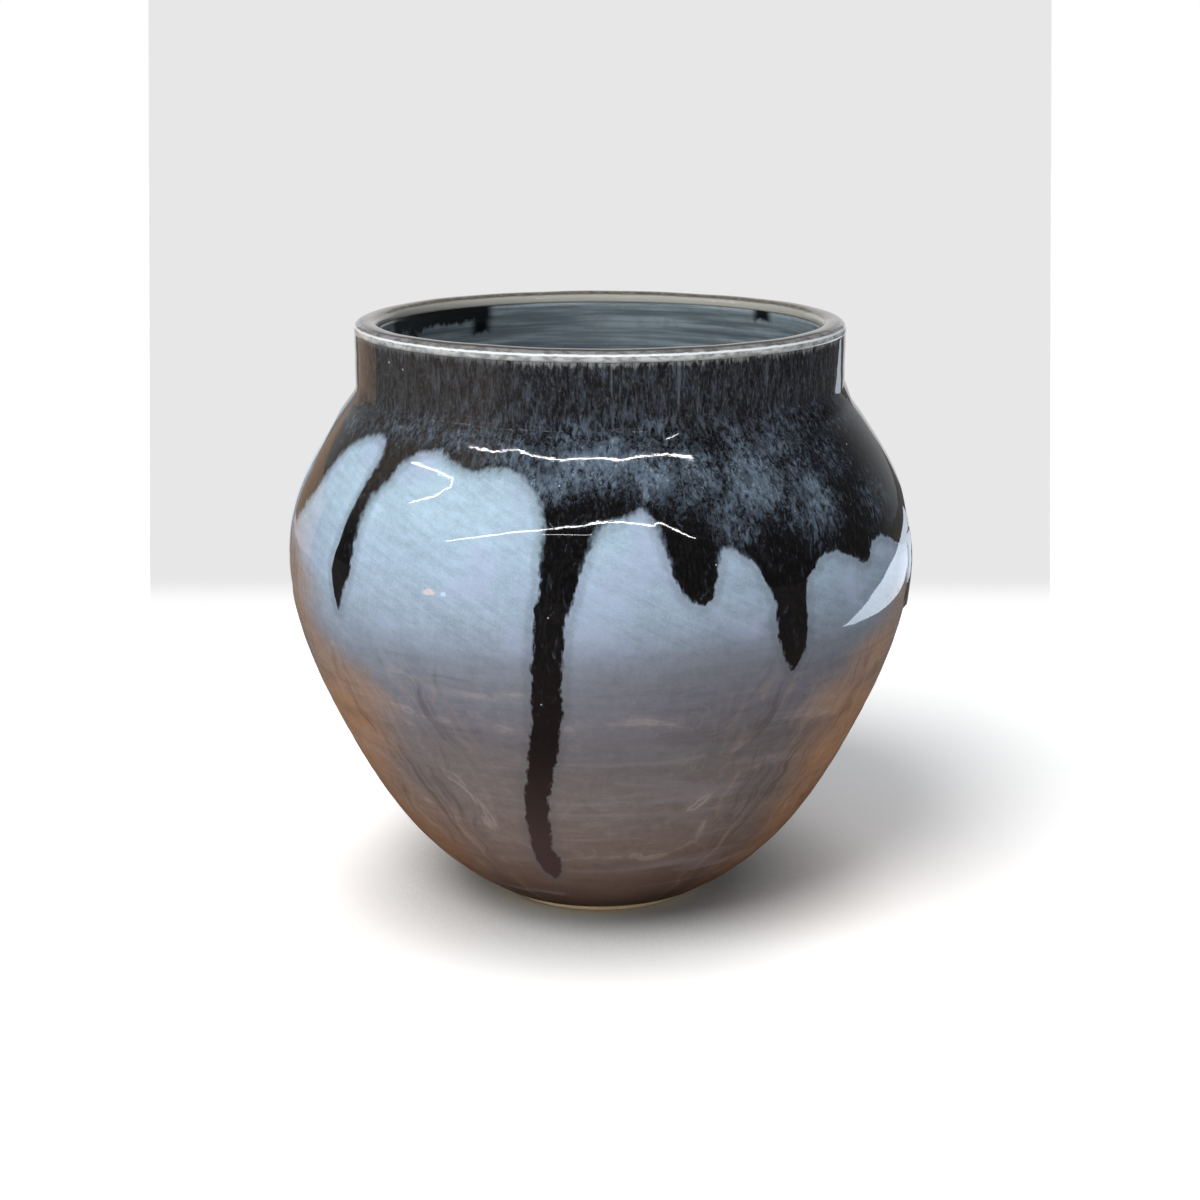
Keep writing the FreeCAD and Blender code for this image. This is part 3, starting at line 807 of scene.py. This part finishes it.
def light_glaze(s, mottle, wiped):
    """Colour of the light glaze: its tint with mottling, strokes, bands, pale lines and swirls, and the grain
    and rings of the painted warm reflection on the sides.
    """
    z = s.z
    along = s.plus(s.times(s.x, 0.080), s.times(z, -0.050))
    across = s.plus(s.times(s.x, 0.50), s.times(z, 0.86))
    strokes = s.noise_at(s.joined(along, across, s.times(s.y, 0.1)), 0.62, 3, 0.5, 0.5)
    lift = s.plus(
        s.swing(mottle, 0.30),
        s.swing(s.noise(1.3, 3, shift=3), 0.22),
        s.swing(s.noise(0.07, 2, shift=23), 0.22),
        s.swing(wiped, 0.30),
        s.swing(s.noise(0.6, 2, (1, 1, 0.10), 43), 0.14),
        s.swing(strokes, s.step(z, 96, 112, 0.06, 0.44)),
        s.swing(s.noise(2.4, 2, shift=231), s.step(z, 96, 112, 0.10, 0.46)))
    light = s.blend(1.0, s.read("tint", "Color"), s.grey(s.plus(1.0, lift)), "MULTIPLY")
    tinge = s.times(s.step(s.noise(0.05, 2, shift=241), 0.46, 0.66, 0, 0.40), s.step(z, 98, 114))
    reflection_grain = s.noise(0.22, 3, (1, 1, 0.14), 71, warp=0.9)
    reflected_amber = s.read("reflected_amber")
    vein = s.size(s.plus(s.read("vein"), s.swing(s.noise(0.09, 3, shift=83), 7.0)))
    broken = s.step(s.noise(0.05, 2, shift=91), 0.30, 0.6)
    line = s.plus(s.step(vein, 0.8, 0.1, 0, 0.24), s.step(vein, 3.2, 0.1, 0, 0.08))
    banded = s.noise(0.16, 3, (0.10, 0.10, 1.0), 61, warp=0.7)
    lower = s.step(z, 108, 92)
    swirl = s.size(s.plus(s.noise(0.035, 3, (1, 1, 2.2), 101, warp=1.2), -0.5))
    low = s.times(s.step(z, 100, 86), s.step(z, 22, 36))
    # Thin rings in the painted warm reflection on the sides
    side = s.math("DIVIDE", s.size(s.x), s.outward())
    ring = s.plus(s.times(side, 26.0), s.times(z, -0.085), s.swing(s.noise(0.05, 2, shift=203), 5.0))
    reflection_rings = s.noise_at(s.joined(ring, s.times(z, 0.03), 0.0), 1.0, 3, 0.6, 0.6)
    here = s.times(s.step(side, 0.30, 0.60), s.step(z, 104, 84))
    return s.layers(
        light,
        (tinge, (176, 185, 216)),
        # Dark and pale grain of the painted warm reflection on the sides
        (s.times(reflected_amber, s.step(reflection_grain, 0.5, 0.74, 0, 0.42)), (84, 58, 40)),
        (s.times(reflected_amber, s.step(reflection_grain, 0.42, 0.24, 0, 0.26)), (190, 142, 98)),
        (s.times(line, broken), (186, 172, 166)),
        (s.times(lower, s.step(banded, 0.55, 0.68, 0, 0.22)), (152, 145, 150)),
        (s.times(lower, s.step(banded, 0.45, 0.32, 0, 0.22)), (80, 70, 68)),
        (s.times(s.step(swirl, 0.022, 0.0, 0, 0.075), low), (180, 165, 160)),
        (s.times(here, s.step(reflection_rings, 0.54, 0.68, 0, 0.40)), (70, 52, 42)),
        (s.times(here, s.step(reflection_rings, 0.46, 0.34, 0, 0.20)), (190, 155, 124)))


def dark_glaze(s):
    """Colour of the dark glaze: streaks on the neck, a pale fringe, cloudy patches and browner runs."""
    z = s.z
    haze_here = s.read("haze")
    flow = s.noise(0.68, 4, (1, 1, 0.30), 131, warp=0.8)
    rain = s.noise(1.25, 3, (1, 1, 0.30), 31, warp=0.3)
    neck = s.step(s.plus(z, s.swing(flow, 12.0)), 160.0, 168.5)
    trail = s.step(s.noise(0.55, 2, (1, 1, 0.08), 117), 0.62, 0.74, 0, 0.34)
    bare = s.step(s.noise(0.10, 2, shift=123), 0.46, 0.68, 0, 0.55)
    fringe = s.plus(s.step(z, 179.0, 184.4), s.swing(flow, 1.7))
    veil = s.times(s.step(s.x, -16, -36), s.times(s.step(z, 128, 150), s.step(flow, 0.25, 0.7, 0.35, 0.8)))
    patchy = s.step(s.noise(0.13, 2, (1, 1, 0.6), 221), 0.38, 0.58, 0.45, 1.0)
    patchy = s.times(patchy, s.step(z, 172, 161, 0.40, 1.0))
    cloudy = s.step(s.plus(haze_here, s.swing(flow, 2.1)), 0.12, 1.10, 0, 0.86)
    drops = s.step(s.noise(0.85, 3, (1, 1, 0.24), 137, warp=0.6), 0.48, 0.78, 0, 0.62)
    streak = s.step(s.noise(1.1, 3, (1, 1, 0.16), 211, warp=0.9), 0.56, 0.70, 0, 0.62)
    speck = s.step(s.noise(1.7, 3, (1, 1, 0.45), 139), 0.50, 0.78)
    return s.layers(
        s.blend(s.step(rain, 0.42, 0.66), srgb(8, 8, 9), srgb(24, 20, 20)),
        (s.times(neck, s.step(flow, 0.30, 0.75, 0.15, 0.75)), (54, 53, 55)),
        (s.times(neck, s.step(rain, 0.50, 0.74, 0, 0.50)), (90, 94, 97)),
        (s.times(neck, trail), (120, 132, 138)),
        (s.times(neck, bare), (26, 21, 20)),
        (s.step(fringe, 0.55, 1.25, 0, 0.85), (168, 170, 166)),
        (veil, (64, 60, 56)),
        (s.times(cloudy, patchy), (110, 127, 145)),
        (s.times(drops, s.step(haze_here, 0.05, 0.50), patchy), (116, 130, 144)),
        (s.times(streak, patchy, s.step(haze_here, 0.22, 0.60)), (152, 165, 174)),
        (s.times(speck, s.step(haze_here, 0.01, 0.30), 0.55), (94, 102, 122)),
        (s.step(z, 112, 80, 0, 0.85), (30, 22, 22)),
        (s.step(z, 80, 28, 0, 0.9), (74, 56, 53)))


def glaze_material(name, specular):
    """The whole outside: light glaze below, dark glaze and runs above, each place by its values."""
    s = Shading(name)
    z = s.z
    mottle = s.noise(0.33, 3, shift=11)
    wiped = s.noise(0.42, 3, (0.16, 0.16, 1.0), 57)
    light = light_glaze(s, mottle, wiped)

    # The edge between the two is ragged on the coat and sharper on the runs
    hair = s.swing(s.noise(0.75, 2, (1, 1, 0.35), 151), 2.6)
    ragged = s.plus(s.read("dark"), s.plus(hair, s.swing(s.noise(0.25, 2, shift=163), 1.6)))
    cover = s.blend(
        s.step(z, 124, 140), s.grey(s.step(ragged, -0.45, 0.55)), s.grey(s.step(ragged, -1.3, 1.5)))
    share = s.split(cover)[0]
    light = s.layers(light, (s.step(s.size(s.plus(ragged, 1.2)), 2.4, 0.0, 0, 0.30), (92, 96, 100)))
    pits = s.math("MAXIMUM", s.specks(0.055, 0.030, 7), s.specks(0.12, 0.046, 19))
    colour = s.blend(share, light, dark_glaze(s))
    colour = s.layers(colour, (s.times(pits, s.times(share, 0.9)), (190, 196, 200)))

    # Gloss and relief: dull low down and glassy above, less on the neck
    rough = s.plus(s.step(z, 56, 100, 0.46, 0.030), s.swing(mottle, 0.014))
    gloss = s.times(s.step(z, 66, 122, 0.30, 1.0), s.step(z, 160.5, 164, specular, specular * 0.26))
    peel = s.plus(s.times(s.noise(0.22, 2, shift=171), 0.7), s.times(s.noise(0.6, 2, shift=181), 0.3))
    normal = None
    for height, depth in (
            (peel, 0.013), (s.noise(1.6, 2, shift=191), 0.0004), (wiped, 0.004), (s.times(pits, -1.0), 0.10)):
        normal = s.bump(height, depth, normal)
    return s.finish(colour, rough, normal, IOR=1.5, Specular_IOR_Level=gloss)


def liner_material():
    s = Shading("glaze_inside")
    wiped = s.noise(0.5, 3, (0.05, 0.05, 1.0), 5)
    mottle = s.noise(0.3, 3, shift=13)
    colour = s.layers(
        s.blend(s.step(wiped, 0.35, 0.7), srgb(92, 104, 112), srgb(140, 154, 162)),
        (s.step(mottle, 0.45, 0.7, 0, 0.35), (104, 112, 112)),
        (s.step(s.z, 183.8, 184.9, 0, 0.75), (176, 174, 162)),
        (s.splash_mask(), (18, 18, 20)))
    normal = s.bump(s.noise(0.5, 2, shift=29), 0.04, s.bump(wiped, 0.12))
    return s.finish(colour, s.step(mottle, 0.3, 0.7, 0.12, 0.24), normal, IOR=1.45)


def lip_material():
    """Khaki on top with a dark ring, a cream inner edge, a pale, broken outer edge and a painted highlight
    line along the outer edge.
    """
    s = Shading("glaze_lip")
    outward = s.outward()
    mottle = s.noise(0.4, 3, (1, 1, 0.5), 9)
    fine = s.noise(1.4, 2, shift=19)
    broken = s.step(s.noise(0.42, 4, (0.6, 0.6, 1.4), 41, 0.62), 0.36, 0.62, 0.35, 0.95)
    place = s.plus(outward, s.swing(mottle, 0.6))
    level = s.plus(s.z, s.swing(mottle, 0.5))
    outer_side = s.step(outward, 74.6, 75.2)
    painted_highlight = s.times(s.step(level, 185.05, 185.3), s.step(level, 185.9, 185.6))
    colour = s.layers(
        s.blend(s.step(mottle, 0.35, 0.68), srgb(90, 85, 76), srgb(120, 115, 102)),
        (s.step(fine, 0.55, 0.72, 0, 0.35), (56, 50, 48)),
        (s.step(place, 74.0, 74.9, 0, 0.8), (52, 47, 48)),
        (s.step(place, 70.7, 70.1, 0, 0.85), (186, 186, 178)),
        (s.times(s.step(place, 75.3, 75.9), broken), (202, 205, 204)),
        (s.times(outer_side, s.step(level, 185.5, 185.8, 0, 0.55)), (66, 61, 60)),
        # Painted highlight: a near-white line round the outer edge of the lip
        (s.times(outer_side, s.times(painted_highlight, 0.95)), (242, 246, 250)),
        (s.times(outer_side, s.step(level, 184.4, 183.8, 0, 0.4)), (136, 138, 138)))
    normal = s.bump(fine, 0.002, s.bump(s.noise(0.35, 2, shift=27), 0.03))
    return s.finish(colour, s.step(mottle, 0.3, 0.7, 0.04, 0.08), normal, IOR=1.5)


def clay_material():
    s = Shading("bare_clay")
    grit = s.noise(2.2, 3, shift=4)
    turned = s.noise(1.1, 2, (0.06, 0.06, 1.0), 14)
    colour = s.layers(
        s.blend(s.step(turned, 0.35, 0.68), srgb(228, 204, 160), srgb(240, 220, 180)),
        (s.step(grit, 0.58, 0.72, 0, 0.5), (120, 92, 62)),
        (s.times(s.specks(0.7, 0.16, 5), 0.6), (70, 50, 36)))
    normal = s.bump(turned, 0.08, s.bump(grit, 0.05))
    return s.finish(colour, s.step(grit, 0.3, 0.7, 0.72, 0.9), normal)


pieces = {"body_glaze": make_body_glaze(), "dark_glaze": make_dark_glaze()}
for name in run_outlines:
    pieces[name] = make_run(name)
pieces["liner_glaze"] = make_liner()
pieces["lip_glaze"] = make_lip()
pieces["foot_ring"] = make_foot()
clay = clay_material()
dark_coat = glaze_material("glaze_dark", 0.42)
materials = {
    "body_glaze": glaze_material("glaze_light", 0.36), "liner_glaze": liner_material(),
    "lip_glaze": lip_material(), "foot_ring": clay,
}
for node, piece in pieces.items():
    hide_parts(node)
    piece.data.materials.append(materials.get(node, dark_coat))
for name in ("lower_bowl", "upper_bowl", "neck_collar", "foot_slip", "waist_slip", "neck_slip"):
    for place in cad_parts[name].material_slots:
        place.material = clay


# Floor, backdrop, light and camera

def stage_piece(name, corners, material):
    mesh = bpy.data.meshes.new(name)
    mesh.from_pydata(corners, [], [tuple(range(len(corners)))])
    mesh.materials.append(material)
    piece = show(name, mesh)
    return piece


def empty_material(name):
    """A material without nodes, and the calls that add them."""
    material = bpy.data.materials.new(name)
    material.use_nodes = True
    material.node_tree.nodes.clear()
    return material, Nodes(material.node_tree)


WHITE = (1.0, 1.0, 1.0)
# Painted shade on the floor near the jar, from the dimmest to the clearest place: openness, then how light
# the floor is
FLOOR_OPENNESS = (0.25, 0.80)
FLOOR_LIGHTNESS = (0.45, 1.46)
# How far in m from the jar the floor gets painted shade
FLOOR_PAINTED_SHADE_REACH = 0.055


def floor_material():
    """A white floor that keeps the jar's shadow from the lamps, with painted shade near the jar from its
    openness, and is dim where the glaze mirrors it.
    """
    material, n = empty_material("pale_floor")
    # Painted shade: the floor that the camera sees is darker where the jar closes it in
    painted_shade_near_jar = n.add("AmbientOcclusion", {"Distance": FLOOR_PAINTED_SHADE_REACH}, samples=8)
    tone = n.fed("MapRange", painted_shade_near_jar.outputs["AO"], *FLOOR_OPENNESS, *FLOOR_LIGHTNESS)
    path = n.add("LightPath")
    plain, seen, mirrored = (
        n.fed("BsdfDiffuse", colour) for colour in ((0.85, 0.85, 0.85), tone, (0.20, 0.19, 0.18)))
    n.show(n.mix(path.outputs["Is Glossy Ray"], n.mix(path.outputs["Is Camera Ray"], plain, seen), mirrored))
    return material


def wall_material():
    """A pale grey card that shows its own colour from the front and nothing from behind."""
    material, n = empty_material("pale_wall")
    place = n.add("NewGeometry")
    tone = n.step(n.split(place.outputs["Position"])[2], 0.0, 0.015, 1.0, srgb(231, 231, 231)[0])
    glow = n.fed("Emission", WHITE, tone)
    n.show(n.mix(place.outputs["Backfacing"], glow, n.fed("BsdfTransparent")))
    return material


# Corners in m of the floor and of the card behind the jar
FLOOR_CORNERS = [(-4.0, -4.0, 0), (4.0, -4.0, 0), (4.0, 4.0, 0), (-4.0, 4.0, 0)]
WALL_CORNERS = [(-0.2224, 0.363, 0), (0.2224, 0.363, 0), (0.2072, 0.363, 0.32), (-0.2072, 0.363, 0.32)]
stage_piece("floor", FLOOR_CORNERS, floor_material())
wall = stage_piece("backdrop", WALL_CORNERS, wall_material())
wall.visible_shadow = False
wall.visible_diffuse = False


def make_world():
    """A dim plain room for light; white where the camera sees it, and behind the jar in its reflections."""
    world = bpy.data.worlds.new("room")
    bpy.context.scene.world = world
    world.use_nodes = True
    world.node_tree.nodes.clear()
    n = Nodes(world.node_tree)
    path = n.add("LightPath").outputs
    place = n.add("TexCoord").outputs["Generated"]
    plain = n.fed("Background", (0.95, 0.97, 1.0), 0.34)
    white = n.fed("Background", WHITE, 1.0)
    room = n.fed("Background", (0.93, 0.96, 1.0), n.step(n.split(place)[1], 0.48, 0.92, 0.09, 0.40))
    seen = n.math("MAXIMUM", path["Is Camera Ray"], path["Is Transmission Ray"])
    n.show(n.mix(seen, n.mix(path["Is Glossy Ray"], plain, room), white), "OutputWorld")


make_world()


def add_lamp(name, kind, energy, place, turn, hidden, **settings):
    """A lamp at a place in m, turned by angles in radians, and hidden from some kinds of rays."""
    light = bpy.data.lights.new(name, kind)
    light.energy = energy
    for key, value in settings.items():
        setattr(light, key, value)
    lamp = show(name, light)
    lamp.location, lamp.rotation_euler = place, turn
    hide(lamp, hidden)


def hide(thing, rays):
    for ray in rays:
        setattr(thing, "visible_" + ray, False)


# What only the gloss shows: it lights nothing, shades nothing and stays out of the picture
ONLY_MIRRORED = ("camera", "diffuse", "transmission", "shadow")

# Soft light from far away: azimuth from the front towards +X, elevation, strength, disc's angle, colour
SUNS = {
    "key": (-34, 48, 1.95, 34, (1.0, 0.985, 0.96)),
    "fill": (-8, 20, 0.62, 60, (0.94, 0.97, 1.0)),
}
for name, (azimuth, elevation, strength, spread, colour) in SUNS.items():
    turn = (math.radians(90 - elevation), 0, math.radians(azimuth))
    add_lamp(name, "SUN", strength, (0, 0, 0), turn, ("glossy",), angle=math.radians(spread), color=colour)

# Thin flat lamps under a high ceiling that the glaze mirrors as lines: width, glow, and x, y in mm
CEILING = 1500.0
CEILING_LINES = [
    (4.5, 120.0, [(-1220, -365), (-960, -575), (-471, -790), (-331, -838), (184, -856), (840, -652)]),
    (20.0, 60.0, [(-2693, -1561), (-1408, -1627), (-738, -1623), (-191, -1658), (146, -1509), (284, -1520),
                  (624, -1544), (931, -1614), (1396, -1864)]),
    (15.0, 44.0, [(-1931, 209), (-1646, -197), (-1463, -454), (-1520, -512), (-1863, -459), (-2359, -231)]),
]
for number, (width, glow, points) in enumerate(CEILING_LINES):
    for part, (start, end) in enumerate(zip(points[:-1], points[1:])):
        start, end = np.array((*start, CEILING)) * MM, np.array((*end, CEILING)) * MM
        size = float(np.hypot(*(end - start)[:2]))
        add_lamp(
            f"ceiling_{number}_{part}", "AREA", glow * math.pi * size * width * MM, (start + end) / 2,
            (0, 0, math.atan2(end[1] - start[1], end[0] - start[0])), ("diffuse", "camera"),
            shape="RECTANGLE", size=size, size_y=width * MM)


def glow_material(name, colour, strength):
    """A material that shines; its strength is a number or the name of a value that each corner holds."""
    material, n = empty_material(name)
    strength = n.read(strength) if isinstance(strength, str) else strength
    n.show(n.fed("Emission", colour, strength))
    return material


# A bright sheet low on the right, which the glaze mirrors as a pale patch: x, y in mm and how bright
SHEET_HEIGHT = 2.0
SHEET = [
    (311, -18, 7.0), (318, 73, 5.2), (313, 187, 3.0), (286, 329, 1.7), (285, 440, 1.4), (327, 646, 1.2),
    (806, 1314, 1.7), (672, 606, 2.9), (611, 376, 3.7), (458, 134, 5.4),
]
sheet_corners = [(x * MM, y * MM, SHEET_HEIGHT * MM) for x, y, _ in SHEET]
sheet = stage_piece("sheet", sheet_corners, glow_material("bright_sheet", (0.78, 0.88, 1.0), "bright"))
brightness = sheet.data.attributes.new("bright", "FLOAT", "POINT")
brightness.data.foreach_set("value", [bright for _, _, bright in SHEET])
hide(sheet, ONLY_MIRRORED)

# A warm board at the back left, which shows in the gloss of the left side
BOARD = [(-763, 477, 0), (-450, 779, 0), (-450, 779, 260), (-763, 477, 260)]
board_corners = [tuple(number * MM for number in corner) for corner in BOARD]
board = stage_piece("board", board_corners, glow_material("warm_board", (1.0, 0.70, 0.50), 0.68))
hide(board, ONLY_MIRRORED)

# Two small lamps that the left side mirrors as dots: place and width in mm, colour, glow
DOT_LAMPS = {
    "dot_orange": ((-1304.0, -745.0, 15.0), 120.0, (1.0, 0.42, 0.10), 11.0),
    "dot_pale": ((-1228.0, -870.0, 39.0), 60.0, (0.60, 0.80, 1.0), 11.0),
}
for name, (place, width, tone, glow) in DOT_LAMPS.items():
    add_lamp(
        name, "AREA", glow * math.pi * math.pi * (width * MM / 2) ** 2, [number * MM for number in place],
        (math.radians(90), 0, math.atan2(-place[0], place[1]) + math.pi), ONLY_MIRRORED,
        shape="DISK", size=width * MM, color=tone)

# The camera: place in m, lens and sensor in mm, and its turn up from straight down
CAMERA_PLACE = (0.0, -0.700, 0.273)
CAMERA_LENS = 66.62
CAMERA_SENSOR = 36.0
CAMERA_TURN = (math.radians(75.73), 0.0, 0.0)
camera_data = bpy.data.cameras.new("camera")
camera_data.lens, camera_data.sensor_width = CAMERA_LENS, CAMERA_SENSOR
camera = show("camera", camera_data)
camera.location, camera.rotation_euler = CAMERA_PLACE, CAMERA_TURN
bpy.context.scene.camera = camera
bpy.context.scene.view_settings.view_transform = "Standard"


def plain(box):
    """A box as plain lists of numbers."""
    return [[float(number) for number in corner] for corner in box]
